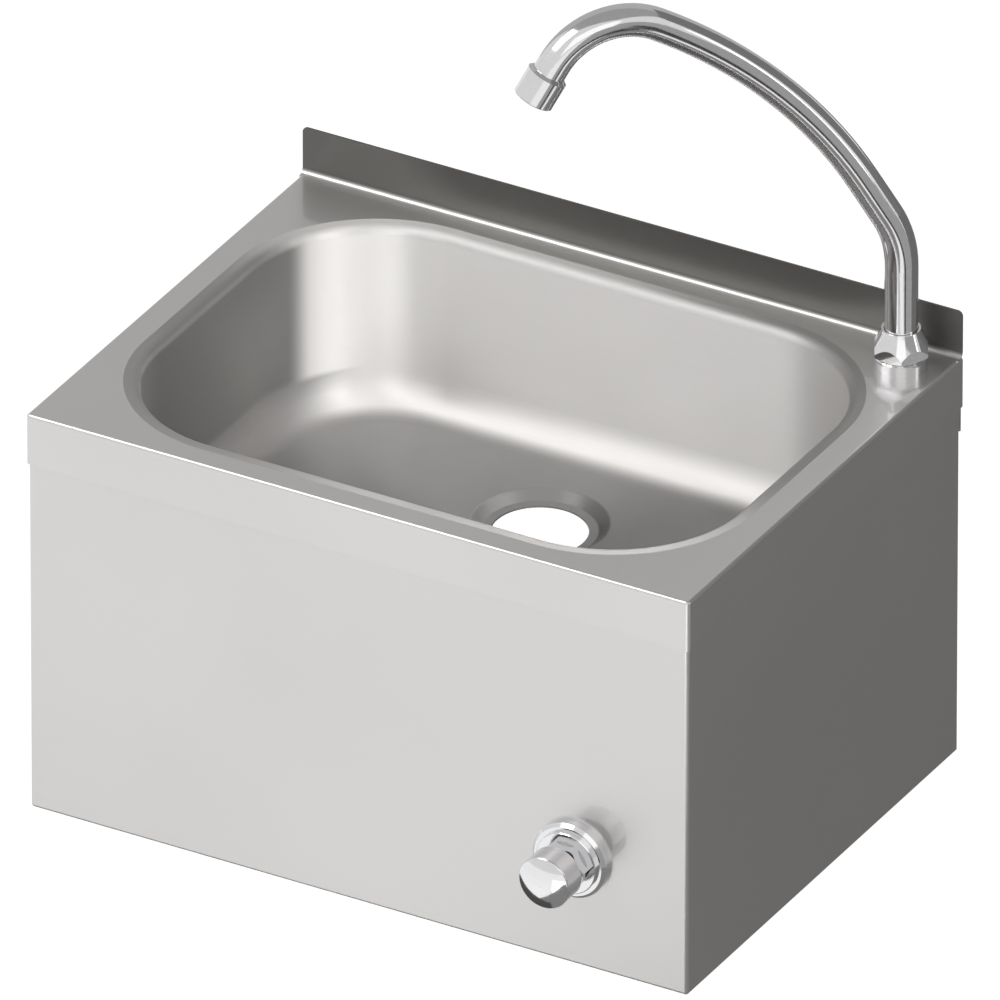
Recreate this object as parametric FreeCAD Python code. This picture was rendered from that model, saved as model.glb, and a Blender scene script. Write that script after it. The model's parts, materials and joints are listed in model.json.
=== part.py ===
import FreeCAD, Part
import math
import os

# Wall-hung hand wash basin of stainless sheet, with a swivelling spout and a
# self-closing push valve behind its front panel.
# Frame: X to the right, -Y to the front, +Z up, millimetres. The origin is on
# the wall, midway between the two upper fixing holes.

# ---------------------------------------------------------------- sheet metal
SHEET = 1.0                 # thickness of every folded or pressed sheet
WIDTH = 400.0               # across the lid
DEPTH = 295.0               # wall to the front of the lid
HEIGHT = 240.0              # bottom edge to the deck
UPSTAND = 28.0              # splashback above the deck
UPSTAND_BEND = 4.0          # inside radius at the foot of the upstand
UPSTAND_CORNER = 3.0        # rounding of its top corners
SKIRT = 30.0                # folded edge of the lid
LID_BEND = 2.0              # outside radius of the lid's folds
HOUSING_BEND = 2.0          # outside radius of the housing's folds
HOUSING_DROP = 2.0          # housing's top edge below the deck sheet
BOTTOM_FLANGE = 12.0        # inward fold along the housing's bottom edge
REAR_FLANGE = 20.0          # inward fold along the housing's rear edges

# ------------------------------------------------------------------ wall rail
RAIL_HEIGHT = 46.0
RAIL_FLANGE = 9.0           # forward folds of the rail
RAIL_BEND = 2.0
FIXING_DROP = 24.0          # deck to the upper fixing holes
FIXING_SPACING = 300.0
FIXING_R = 4.5
LOWER_FIXING_RISE = 40.0    # bottom edge to the lower fixing holes

# ----------------------------------------------------------------------- bowl
BOWL_SIDE = 25.0            # deck either side of the bowl
BOWL_FRONT = 22.5           # deck in front of the bowl
BOWL_REAR = 22.5            # deck between the bowl and the wall
BOWL_CORNER = 75.0
BOWL_DEPTH = 108.0
RIM_FILLET = 5.0
RIM_LAND = 4.0              # flat of the bowl welded flush into the deck
FLOOR_FILLET = 20.0
DRAIN_OFFSET = 48.5         # drain behind the middle of the bowl
DISH_R = 37.2               # sunk seat for the waste
DISH_FLAT_R = 31.1          # flat ring at the bottom of the seat
DISH_DROP = 4.9
DISH_BEND = 1.2             # rounding at the top and the foot of its slope
WASTE_R = 26.0

# ----------------------------------------------------------------- clearances
RUNNING_GAP = 0.05          # radial, shaft in its bore
THREAD_GAP = 0.1            # radial, between mating threads
LOOSE_GAP = 0.3             # parts that pass without touching
FACE_GAP = 0.05             # axial, faces that slide on each other
HOLE_GAP = 0.5              # radial, fitting through a sheet hole
NUT_FACE_INSET = 0.3        # a nut's round face inside its flats

# ------------------------------------------------------------------------ tap
TAP_INSET = 24.0            # tap axis from the wall and from the right edge
COLLAR_R = 14.2
COLLAR_HEIGHT = 7.4
COLLAR_EDGE = 0.6
GASKET_DEPTH = 1.5          # recess for the gasket under the collar
GASKET_WIDTH = 1.8
TAIL_R = 10.48              # G1/2 thread
TAIL_LENGTH = 46.0          # below the deck
TAIL_BORE_R = 6.0
BOSS_R = 12.2               # threaded boss above the collar
BOSS_HEIGHT = 5.0
SOCKET_DEPTH = 9.0          # spout socket below the deck
SLIP_RING = 1.0             # thickness of the two plastic slip rings
TAIL_FLANGE = 1.6           # thickness of the flange held under the nut
NUT_LEDGE = 0.8             # step inside the nut, above its thread
SPIGOT_LENGTH = 14.0        # spout tail inside the tube
TUBE_R = 9.0
TUBE_WALL = 1.0
ORING_R = 0.95              # section radius of the spout's O-rings
ORING_PITCH = 8.0
NUT_FLATS = 28.2            # across the flats of the spout nut
NUT_BOTTOM_GAP = 0.6        # collar to nut
NUT_HEIGHT = 15.6
NUT_HEX_TOP = 3.2           # nut's underside to where its bell begins
NUT_CHAMFER_R = 13.4
NUT_CHAMFER = 1.5
NUT_TOP_R = 10.5
NUT_WAIST_R = 13.1          # bell radius halfway up
DECK_WASHER_R = 16.0
RUBBER_WASHER = 2.0
STEEL_WASHER = 1.5
BACKNUT = 7.0
BACKNUT_FLATS = 27.0

# ---------------------------------------------------------------------- spout
SPOUT_HEADING = 45.0        # degrees from the wall line towards the front
SPOUT_RISE = 61.4           # straight up, above the deck
FOOT_BEND_R = 65.0
FOOT_TURN = 29.3            # degrees
NECK_RUN = 26.6
ARM_R = 285.0
ARM_TURN = 32.2             # degrees
OUTLET_R = 41.7
OUTLET_TURN = 87.7          # degrees
OUTLET_RUN = 23.0           # last bend to the outlet face
AERATOR_R = 11.2
AERATOR_LENGTH = 17.2
AERATOR_SHOULDER = 1.6
AERATOR_LIP = 1.2           # inward lip that holds the insert
AERATOR_EDGE = 0.4
INSERT_LENGTH = 4.3
INSERT_HOLE_R = 0.9
INSERT_PITCH = 2.9
AERATOR_SEAL = 2.0
BUSH_LENGTH = 6.5
BUSH_WALL = 1.0

# ----------------------------------------------------------------- push valve
# Distances along the valve are in front of the lid's front plane.
VALVE_INSET = 70.0          # valve axis from the right edge
VALVE_RISE = 65.0           # valve axis above the bottom edge
NECK_R = 13.0
ESCUTCHEON_R = 22.0
ESCUTCHEON_FRONT = 4.5
ESCUTCHEON_EDGE = 1.8
ESCUTCHEON_WALL = 1.5
LOCK_RING_R = 18.0
LOCK_RING = 2.5
CARTRIDGE_FLATS = 24.0
CARTRIDGE_HEAD = 6.5
BODY_BORE_R = 11.0
BODY_R = 16.0
SHOULDER_R = 18.0
SHOULDER = 4.0
PANEL_GASKET = 2.0
BODY_END = -66.0
CHAMBER_R = 8.0
STEM_R = 3.0
SEAT_HOLE_R = 5.0
SEAT_REAR = -41.0
SEAT_WALL = 3.5
CHAMBER_FRONT = 5.0
OUTLET_PORT = -28.0
OUTLET_PORT_R = 8.33        # G3/8 thread
OUTLET_PORT_REACH = 30.0
OUTLET_PORT_BORE = 5.0
INLET_PORT = -52.0
INLET_PORT_REACH = 36.0
INLET_THREAD = 18.0         # length of its thread
INLET_SHOULDER_R = 12.5     # plain boss behind the thread
INLET_PORT_BORE = 6.5
STRAINER_R = 7.4
STRAINER = 2.0
STRAINER_SET = 1.5          # strainer in from the inlet's mouth
PORT_WINDOW_R = 2.5
CARTRIDGE_GROOVE_R = 9.3
CARTRIDGE_GROOVE = 8.0
CARTRIDGE_ORING_R = 0.9
PISTON = 6.0
PISTON_REAR = -18.0
DISC = 3.0
DISC_R = 7.5
DISC_HOLDER = 1.8
DISC_HOLDER_R = 8.5
DISC_NUT = 3.4
DISC_NUT_FLATS = 8.0
SEAT_CLEARANCE = 0.05
CAP_PLUG = 6.5
CAP_HEAD = 6.0
CAP_FLATS = 27.0

# --------------------------------------------------------------------- button
BUTTON_R = 15.0
BUTTON_REAR = 16.5
BUTTON_RIM = 30.2
BUTTON_DOME = 3.6
BUTTON_EDGE = 1.2
BUTTON_WALL = 0.8
BUTTON_WEB = 2.2            # thickness of its front
BUTTON_BOSS_R = 5.5
BUTTON_BOSS = 6.0
BUTTON_TRAVEL = 8.0
SPRING_WIRE_R = 0.6
SPRING_R = 9.0
SPRING_TURNS = 4

# ------------------------------------------------------------------ feed pipe
PIPE_R = 5.0
PIPE_WALL = 1.0
PIPE_BEND = 20.0
PIPE_SIDE_GAP = 3.0         # pipe to the inside of the right side
PIPE_TURN_UP = 36.0         # last bend ahead of the tap axis
PIPE_CLIMB = 51.0
PIPE_SEAL = 1.5
PIPE_COLLAR = 2.5
FEED_NUT_WALL = 2.8
FEED_NUT_GRIP = 10.0        # thread length of the two feed nuts
LOWER_NUT_FLATS = 20.0
UPPER_NUT_FLATS = 25.0

# ------------------------------------------------------------- derived places
DECK_Z = FIXING_DROP
BASE_Z = DECK_Z - HEIGHT
HALF = WIDTH / 2
BOWL_LENGTH = WIDTH - 2 * BOWL_SIDE
BOWL_WIDTH = DEPTH - BOWL_FRONT - BOWL_REAR
BOWL_Y = -DEPTH + BOWL_FRONT + BOWL_WIDTH / 2
FLOOR_Z = DECK_Z - BOWL_DEPTH
DRAIN_Y = BOWL_Y + DRAIN_OFFSET
TAP_X = HALF - TAP_INSET
TAP_Y = -TAP_INSET
VALVE_X = HALF - VALVE_INSET
VALVE_Z = BASE_Z + VALVE_RISE
PANEL_FRONT = -SHEET
PANEL_BACK = PANEL_FRONT - SHEET
HOUSING_TOP = DECK_Z - SHEET - HOUSING_DROP
BOSS_TOP = COLLAR_HEIGHT + BOSS_HEIGHT
FLANGE_BOTTOM = BOSS_TOP + SLIP_RING + FACE_GAP
FLANGE_TOP = FLANGE_BOTTOM + TAIL_FLANGE
NUT_SHOULDER = FLANGE_TOP + 2 * FACE_GAP + SLIP_RING
NUT_BOTTOM = COLLAR_HEIGHT + NUT_BOTTOM_GAP
FLANGE_R = BOSS_R + THREAD_GAP - NUT_LEDGE - LOOSE_GAP
LOCK_RING_FRONT = ESCUTCHEON_FRONT + LOCK_RING
HEAD_FRONT = LOCK_RING_FRONT + CARTRIDGE_HEAD
BUTTON_INSIDE = BUTTON_RIM - BUTTON_WEB
SLEEVE_R = BODY_BORE_R - THREAD_GAP
STEM_FRONT = BUTTON_INSIDE
DISC_FRONT = SEAT_REAR - SEAT_CLEARANCE
DISC_REAR = DISC_FRONT - DISC
HOLDER_REAR = DISC_REAR - DISC_HOLDER
STEM_REAR = HOLDER_REAR - DISC_NUT

V = FreeCAD.Vector
ORIGIN = V(0, 0, 0)
AXIS_X = V(1, 0, 0)
AXIS_Y = V(0, 1, 0)
AXIS_Z = V(0, 0, 1)
TINY = 0.01
PAST = 1.0                  # cutting tools run past the face they cut by this


# -------------------------------------------------------------- shape helpers
def turned(points):
    """Turned piece about Z from its half section, a list of (radius, height)."""
    corners = [V(r, 0, z) for r, z in points]
    section = Part.Face(Part.makePolygon(corners + corners[:1]))
    return section.revolve(ORIGIN, AXIS_Z, 360)


def ring(inner, outer, low, high):
    return turned([(inner, low), (outer, low), (outer, high), (inner, high)])


def rod(radius, low, high):
    return Part.makeCylinder(radius, high - low, V(0, 0, low))


def round_rings(section_r, outer_r, heights):
    """Identical O-rings about Z whose outsides reach outer_r."""
    rings = [Part.makeTorus(outer_r - section_r, section_r, V(0, 0, z)) for z in heights]
    return Part.makeCompound(rings)


def hexagon(flats, low, high):
    """Hexagonal prism about Z with two corners on the X axis."""
    radius = flats / 2 / math.cos(math.radians(30))
    corners = []
    for k in range(6):
        angle = math.radians(60 * k)
        corners.append(V(radius * math.cos(angle), radius * math.sin(angle), low))
    face = Part.Face(Part.makePolygon(corners + corners[:1]))
    return face.extrude(V(0, 0, high - low))


def chamfered_hexagon(flats, low, high, both=True):
    """Hexagon whose corners are turned off at 30 degrees, as on a nut."""
    corner = flats / 2 / math.cos(math.radians(30))
    inset = flats / 2 - NUT_FACE_INSET
    drop = (corner - inset) * math.tan(math.radians(30))
    foot = drop if both else 0
    start = inset if both else corner
    outline = [(0, low), (start, low), (corner, low + foot)]
    outline += [(corner, high - drop), (inset, high), (0, high)]
    if not both:
        outline.pop(1)
    return hexagon(flats, low, high).common(turned(outline))


def edges_level(shape, z):
    """Edges that lie flat at height z."""
    found = []
    for edge in shape.Edges:
        box = edge.BoundBox
        if abs(box.ZMin - z) < TINY and abs(box.ZMax - z) < TINY:
            found.append(edge)
    return found


def edges_upright(shape):
    """Straight edges along Z."""
    found = []
    for edge in shape.Edges:
        box = edge.BoundBox
        if box.XLength < TINY and box.YLength < TINY:
            found.append(edge)
    return found


def box_between(low, high):
    size = high - low
    return Part.makeBox(size.x, size.y, size.z, low)


def swept(wire, radius):
    """Round bar along a wire of straight runs and tangent arcs."""
    first = wire.Edges[0]
    start = first.valueAt(first.FirstParameter)
    along = first.tangentAt(first.FirstParameter)
    circle = Part.Wire(Part.makeCircle(radius, start, along))
    return Part.Wire(wire.Edges).makePipeShell([circle], True, False)


def rounded_route(points, radius):
    """Wire through points: straight runs, each corner an arc of one radius."""
    edges = []
    here = points[0]
    for before, corner, after in zip(points, points[1:], points[2:]):
        incoming = (corner - before).normalize()
        outgoing = (after - corner).normalize()
        turn = incoming.getAngle(outgoing)
        setback = radius * math.tan(turn / 2)
        arc_start = corner - incoming * setback
        arc_end = corner + outgoing * setback
        inward = (outgoing - incoming).normalize()
        middle = corner + inward * (radius / math.cos(turn / 2) - radius)
        edges.append(Part.makeLine(here, arc_start))
        edges.append(Part.Arc(arc_start, middle, arc_end).toShape())
        here = arc_end
    edges.append(Part.makeLine(here, points[-1]))
    return Part.Wire(edges)


# ------------------------------------------------------------ sheet metal box
def deck_plate():
    """Lid with folded skirts, and the upstand folded up along the wall."""
    lid = box_between(V(-HALF, -DEPTH, DECK_Z - SKIRT), V(HALF, 0, DECK_Z))
    lid = lid.makeFillet(LID_BEND, lid_folds(lid))
    low = V(SHEET - HALF, SHEET - DEPTH, DECK_Z - SKIRT - PAST)
    inside = box_between(low, V(HALF - SHEET, PAST, DECK_Z - SHEET))
    inside = inside.makeFillet(LID_BEND - SHEET, lid_folds(inside))
    lid = lid.cut(inside)
    fold = UPSTAND_BEND + SHEET
    flat_x = HALF - LID_BEND
    lid = lid.cut(box_between(V(-flat_x, -fold, DECK_Z - SHEET), V(flat_x, 0, DECK_Z)))
    plate = lid.fuse(upstand(fold)).removeSplitter()
    opening = bowl_plate(RIM_FILLET + RIM_LAND, SHEET * 3, DECK_Z - SHEET * 2)
    tap_hole = Part.makeCylinder(TAIL_R + HOLE_GAP, SHEET * 3, V(TAP_X, TAP_Y, DECK_Z - SHEET * 2))
    return plate.cut(opening.fuse(tap_hole))


def lid_folds(block):
    """Edges of a lid block that are folds: front corners and the top, not the rear."""
    top = block.BoundBox.ZMax
    rear = block.BoundBox.YMax
    folds = [e for e in edges_level(block, top) if e.CenterOfMass.y < rear - TINY]
    return folds + [e for e in edges_upright(block) if e.CenterOfMass.y < rear - TINY]


def upstand(fold):
    """Folded profile along X: quarter bend, then the upright sheet."""
    centre = V(-HALF, -fold, DECK_Z + UPSTAND_BEND)
    top = DECK_Z + UPSTAND
    slant = math.sqrt(0.5)
    outer_middle = centre + V(0, fold * slant, -fold * slant)
    inner_middle = centre + V(0, UPSTAND_BEND * slant, -UPSTAND_BEND * slant)
    under = V(-HALF, -fold, DECK_Z - SHEET)
    over = V(-HALF, -fold, DECK_Z)
    back_low = V(-HALF, 0, centre.z)
    back_high = V(-HALF, 0, top)
    front_high = V(-HALF, -SHEET, top)
    front_low = V(-HALF, -SHEET, centre.z)
    edges = [
        Part.Arc(under, outer_middle, back_low).toShape(),
        Part.makeLine(back_low, back_high),
        Part.makeLine(back_high, front_high),
        Part.makeLine(front_high, front_low),
        Part.Arc(front_low, inner_middle, over).toShape(),
        Part.makeLine(over, under),
    ]
    sheet = Part.Face(Part.Wire(edges)).extrude(V(WIDTH, 0, 0))
    corners = [e for e in edges_level(sheet, top) if e.BoundBox.XLength < TINY]
    return sheet.makeFillet(UPSTAND_CORNER, corners)


def housing_panel():
    """Front and both sides folded from one sheet, with inward flanges."""
    side = HALF - SHEET
    front = -DEPTH + SHEET
    outer = box_between(V(-side, front, BASE_Z), V(side, -SHEET, HOUSING_TOP))
    outer = outer.makeFillet(HOUSING_BEND, housing_folds(outer))
    low = V(SHEET - side, front + SHEET, BASE_Z + SHEET)
    inner = box_between(low, V(side - SHEET, -2 * SHEET, HOUSING_TOP + PAST))
    inner = inner.makeFillet(HOUSING_BEND - SHEET, housing_folds(inner))
    panel = outer.cut(inner)
    rear_x = side - REAR_FLANGE
    rear = box_between(V(-rear_x, -3 * SHEET, BASE_Z - PAST), V(rear_x, 0, HOUSING_TOP + PAST))
    under_x = side - BOTTOM_FLANGE
    low = V(-under_x, front + BOTTOM_FLANGE, BASE_Z - PAST)
    under = box_between(low, V(under_x, 0, BASE_Z + 2 * SHEET))
    panel = panel.cut(rear.fuse(under))
    start = V(VALVE_X, front - SHEET, VALVE_Z)
    holes = [Part.makeCylinder(NECK_R + HOLE_GAP, 4 * SHEET, start, AXIS_Y)]
    hole_x = side - REAR_FLANGE / 2
    for x in (-hole_x, hole_x):
        start = V(x, -3 * SHEET, BASE_Z + LOWER_FIXING_RISE)
        holes.append(Part.makeCylinder(FIXING_R, 4 * SHEET, start, AXIS_Y))
    return panel.cut(Part.makeCompound(holes))


def housing_folds(block):
    """Upright edges and the bottom edges, apart from the one along the wall."""
    rear = block.BoundBox.YMax
    bottom = [e for e in edges_level(block, block.BoundBox.ZMin) if e.CenterOfMass.y < rear - TINY]
    return bottom + edges_upright(block)


def wall_rail():
    """Channel under the deck, across the rear flanges, that takes the wall screws."""
    top = DECK_Z - SHEET
    bottom = top - RAIL_HEIGHT
    web_x = HALF - SHEET
    flange_x = TAP_X - DECK_WASHER_R - HOLE_GAP
    clear_x = web_x - REAR_FLANGE - HOLE_GAP
    end = min(flange_x, clear_x)
    channel = box_between(V(-end, -RAIL_FLANGE, bottom), V(end, 0, top))
    folds = [e for e in channel.Edges if e.BoundBox.XLength > end and abs(e.CenterOfMass.y) < TINY]
    channel = channel.makeFillet(RAIL_BEND, folds)
    low = V(-end - PAST, -RAIL_FLANGE - PAST, bottom + SHEET)
    hollow = box_between(low, V(end + PAST, -SHEET, top - SHEET))
    folds = [e for e in hollow.Edges if e.BoundBox.XLength > end and abs(e.CenterOfMass.y + SHEET) < TINY]
    channel = channel.cut(hollow.makeFillet(RAIL_BEND - SHEET, folds))
    web = box_between(V(-web_x, -SHEET, bottom + RAIL_BEND), V(web_x, 0, top - RAIL_BEND))
    rail = channel.fuse(web).removeSplitter()
    for x in (-FIXING_SPACING / 2, FIXING_SPACING / 2):
        rail = rail.cut(Part.makeCylinder(FIXING_R, 3 * SHEET, V(x, -2 * SHEET, 0), AXIS_Y))
    return rail


# ----------------------------------------------------------------------- bowl
def bowl_plate(offset, thickness, z):
    """Plate of the bowl's outline grown by offset, with its underside at z."""
    length = BOWL_LENGTH + 2 * offset
    width = BOWL_WIDTH + 2 * offset
    block = Part.makeBox(length, width, thickness, V(-length / 2, BOWL_Y - width / 2, z))
    return block.makeFillet(BOWL_CORNER + offset, edges_upright(block))


def outline_edges(shape, z, offset):
    """Level edges at z that follow the bowl's outline grown by offset."""
    half_length = BOWL_LENGTH / 2 + offset + TINY
    half_width = BOWL_WIDTH / 2 + offset + TINY
    found = []
    for edge in edges_level(shape, z):
        box = edge.BoundBox
        if max(-box.XMin, box.XMax) < half_length and max(BOWL_Y - box.YMin, box.YMax - BOWL_Y) < half_width:
            found.append(edge)
    return found


def bowl():
    """Pressed bowl: one sheet from its flush rim to the sunk seat for the waste."""
    outside = bowl_plate(SHEET, BOWL_DEPTH, FLOOR_Z - SHEET)
    outside = outside.makeFillet(FLOOR_FILLET + SHEET, edges_level(outside, FLOOR_Z - SHEET))
    land = bowl_plate(RIM_FILLET + RIM_LAND, SHEET, DECK_Z - SHEET)
    shell = outside.fuse(land).removeSplitter()
    shell = shell.makeFillet(RIM_FILLET - SHEET, outline_edges(shell, DECK_Z - SHEET, SHEET))
    hollow = bowl_plate(0, BOWL_DEPTH + PAST, FLOOR_Z)
    hollow = hollow.makeFillet(FLOOR_FILLET, edges_level(hollow, FLOOR_Z))
    shell = shell.cut(hollow)
    shell = shell.makeFillet(RIM_FILLET, outline_edges(shell, DECK_Z, 0))
    start = V(0, DRAIN_Y, FLOOR_Z - 2 * SHEET)
    drain = Part.makeCylinder(DISH_R + 2 * DISH_BEND, 3 * SHEET, start)
    return shell.cut(drain).fuse(drain_dish()).removeSplitter()


def drain_dish():
    """Sunk seat for the waste: a conical slope down to a flat ring round the hole."""
    outer = DISH_R + 2 * DISH_BEND
    slant = math.atan2(DISH_DROP, DISH_R - DISH_FLAT_R)
    shift = SHEET * math.tan(slant / 2)
    over = [(outer, 0), (DISH_R, 0), (DISH_FLAT_R, -DISH_DROP), (WASTE_R, -DISH_DROP)]
    under = [
        (WASTE_R, -DISH_DROP - SHEET),
        (DISH_FLAT_R + shift, -DISH_DROP - SHEET),
        (DISH_R + shift, -SHEET),
        (outer, -SHEET),
    ]
    dish = turned(over + under)
    crest = ring_edges(dish, DISH_R, 0) + ring_edges(dish, DISH_FLAT_R + shift, -DISH_DROP - SHEET)
    foot = ring_edges(dish, DISH_FLAT_R, -DISH_DROP) + ring_edges(dish, DISH_R + shift, -SHEET)
    dish = dish.makeFillet(DISH_BEND + SHEET, crest).makeFillet(DISH_BEND, foot)
    dish.translate(V(0, DRAIN_Y, FLOOR_Z))
    return dish


def ring_edges(shape, radius, height):
    """Circular edges of one radius and height on a piece turned about Z."""
    return [e for e in edges_level(shape, height) if abs(e.BoundBox.XMax - radius) < TINY]


# ------------------------------------------------------------------ tap pieces
def on_deck(shape):
    """Moves a piece turned about Z, with the deck at height 0, to the tap."""
    shape.translate(V(TAP_X, TAP_Y, DECK_Z))
    return shape


def tap_pillar():
    """Collar on the deck, threaded boss above it and threaded tail below it."""
    socket_r = TUBE_R + RUNNING_GAP
    recess_r = TAIL_R + HOLE_GAP + GASKET_WIDTH
    outline = [
        (TAIL_BORE_R, -TAIL_LENGTH),
        (TAIL_R, -TAIL_LENGTH),
        (TAIL_R, GASKET_DEPTH),
        (recess_r, GASKET_DEPTH),
        (recess_r, 0),
        (COLLAR_R, 0),
        (COLLAR_R, COLLAR_HEIGHT - COLLAR_EDGE),
        (COLLAR_R - COLLAR_EDGE, COLLAR_HEIGHT),
        (BOSS_R, COLLAR_HEIGHT),
        (BOSS_R, BOSS_TOP),
        (socket_r, BOSS_TOP),
        (socket_r, -SOCKET_DEPTH),
        (TAIL_BORE_R, -SOCKET_DEPTH),
    ]
    return on_deck(turned(outline))


def collar_gasket():
    inner = TAIL_R + HOLE_GAP
    return on_deck(ring(inner, inner + GASKET_WIDTH, 0, GASKET_DEPTH))


def deck_rubber_washer():
    top = -SHEET
    return on_deck(ring(TAIL_R + THREAD_GAP, DECK_WASHER_R, top - RUBBER_WASHER, top))


def deck_steel_washer():
    top = -SHEET - RUBBER_WASHER
    return on_deck(ring(TAIL_R + THREAD_GAP, DECK_WASHER_R, top - STEEL_WASHER, top))


def tap_backnut():
    top = -SHEET - RUBBER_WASHER - STEEL_WASHER
    nut = chamfered_hexagon(BACKNUT_FLATS, top - BACKNUT, top)
    return on_deck(nut.cut(rod(TAIL_R + THREAD_GAP, top - BACKNUT - PAST, top + PAST)))


def spout_nut():
    """Hexagon nut that runs up into a bell round the tube."""
    corner = NUT_FLATS / 2 / math.cos(math.radians(30))
    top = NUT_BOTTOM + NUT_HEIGHT
    bell_foot = NUT_BOTTOM + NUT_HEX_TOP
    waist = (bell_foot + top) / 2
    edges = [
        Part.makeLine(V(0, 0, NUT_BOTTOM), V(NUT_CHAMFER_R, 0, NUT_BOTTOM)),
        Part.makeLine(V(NUT_CHAMFER_R, 0, NUT_BOTTOM), V(corner, 0, NUT_BOTTOM + NUT_CHAMFER)),
        Part.makeLine(V(corner, 0, NUT_BOTTOM + NUT_CHAMFER), V(corner, 0, bell_foot)),
        Part.Arc(V(corner, 0, bell_foot), V(NUT_WAIST_R, 0, waist), V(NUT_TOP_R, 0, top)).toShape(),
        Part.makeLine(V(NUT_TOP_R, 0, top), V(0, 0, top)),
        Part.makeLine(V(0, 0, top), V(0, 0, NUT_BOTTOM)),
    ]
    bell = Part.Face(Part.Wire(edges)).revolve(ORIGIN, AXIS_Z, 360)
    nut = hexagon(NUT_FLATS, NUT_BOTTOM, top).common(bell)
    bore = [
        (0, NUT_BOTTOM - PAST),
        (BOSS_R + THREAD_GAP, NUT_BOTTOM - PAST),
        (BOSS_R + THREAD_GAP, BOSS_TOP),
        (FLANGE_R + LOOSE_GAP, BOSS_TOP),
        (FLANGE_R + LOOSE_GAP, NUT_SHOULDER),
        (TUBE_R + LOOSE_GAP, NUT_SHOULDER),
        (TUBE_R + LOOSE_GAP, top + PAST),
        (0, top + PAST),
    ]
    return on_deck(nut.cut(turned(bore)))


def lower_slip_ring():
    return on_deck(ring(TUBE_R + LOOSE_GAP, FLANGE_R, BOSS_TOP, BOSS_TOP + SLIP_RING))


# ---------------------------------------------------------------------- spout
def towards_bowl(shape):
    """Turns a piece drawn in the XZ plane to the spout's resting heading."""
    shape.rotate(ORIGIN, AXIS_Z, 180 + SPOUT_HEADING)
    return on_deck(shape)


def spout_steps():
    """Bends of the spout as (radius, turn in degrees, straight run after it)."""
    tube_run = OUTLET_RUN - tube_setback()
    return [(FOOT_BEND_R, FOOT_TURN, NECK_RUN), (ARM_R, ARM_TURN, 0), (OUTLET_R, OUTLET_TURN, tube_run)]


def tube_setback():
    """Distance from the outlet face back to the end of the tube."""
    return AERATOR_LIP + INSERT_LENGTH + AERATOR_SEAL


def spout_centreline():
    """Centreline of the tube in the XZ plane, its end point and its last direction."""
    start = V(0, 0, FLANGE_TOP)
    here = V(0, 0, SPOUT_RISE)
    angle = math.radians(90)
    edges = [Part.makeLine(start, here)]
    for radius, turn, run in spout_steps():
        centre = here + V(math.sin(angle), 0, -math.cos(angle)) * radius
        points = [here]
        for share in (0.5, 1.0):
            part_angle = angle - math.radians(turn) * share
            points.append(centre + V(-math.sin(part_angle), 0, math.cos(part_angle)) * radius)
        edges.append(Part.Arc(*points).toShape())
        here = points[-1]
        angle -= math.radians(turn)
        if run:
            ahead = here + V(math.cos(angle), 0, math.sin(angle)) * run
            edges.append(Part.makeLine(here, ahead))
            here = ahead
    return Part.Wire(edges), here, angle


def spout_tube():
    wire, _, _ = spout_centreline()
    tube = swept(wire, TUBE_R).cut(swept(wire, TUBE_R - TUBE_WALL))
    return towards_bowl(tube)


def spout_tail():
    """Turned end soldered into the tube; it swivels in the pillar's socket."""
    groove_r = TUBE_R - 2 * ORING_R
    outline = [(TAIL_BORE_R, FACE_GAP - SOCKET_DEPTH), (TUBE_R, FACE_GAP - SOCKET_DEPTH)]
    for middle in oring_heights():
        low = middle - ORING_R - RUNNING_GAP
        high = middle + ORING_R + RUNNING_GAP
        outline += [(TUBE_R, low), (groove_r, low), (groove_r, high), (TUBE_R, high)]
    outline += [
        (TUBE_R, FLANGE_BOTTOM),
        (FLANGE_R, FLANGE_BOTTOM),
        (FLANGE_R, FLANGE_TOP),
        (TUBE_R - TUBE_WALL, FLANGE_TOP),
        (TUBE_R - TUBE_WALL, FLANGE_TOP + SPIGOT_LENGTH),
        (TAIL_BORE_R, FLANGE_TOP + SPIGOT_LENGTH),
    ]
    return on_deck(turned(outline))


def oring_heights():
    middle = (BOSS_TOP - SOCKET_DEPTH) / 2
    return [middle - ORING_PITCH / 2, middle + ORING_PITCH / 2]


def spout_o_rings():
    return on_deck(round_rings(ORING_R, TUBE_R + RUNNING_GAP / 2, oring_heights()))


def upper_slip_ring():
    low = FLANGE_TOP + FACE_GAP
    return on_deck(ring(TUBE_R + RUNNING_GAP, FLANGE_R, low, low + SLIP_RING))


def at_outlet(shape):
    """Moves a piece turned about Z, with the outlet face at 0, to the spout's end."""
    _, tube_end, angle = spout_centreline()
    back = V(-math.cos(angle), 0, -math.sin(angle))
    shape.rotate(ORIGIN, AXIS_Y, math.degrees(math.atan2(back.x, back.z)))
    shape.translate(tube_end - back * tube_setback())
    return towards_bowl(shape)


def outlet_bush():
    """Threaded ring soldered round the end of the tube."""
    low = tube_setback()
    inner = TUBE_R + RUNNING_GAP
    return at_outlet(ring(inner, inner + BUSH_WALL, low, low + BUSH_LENGTH))


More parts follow.
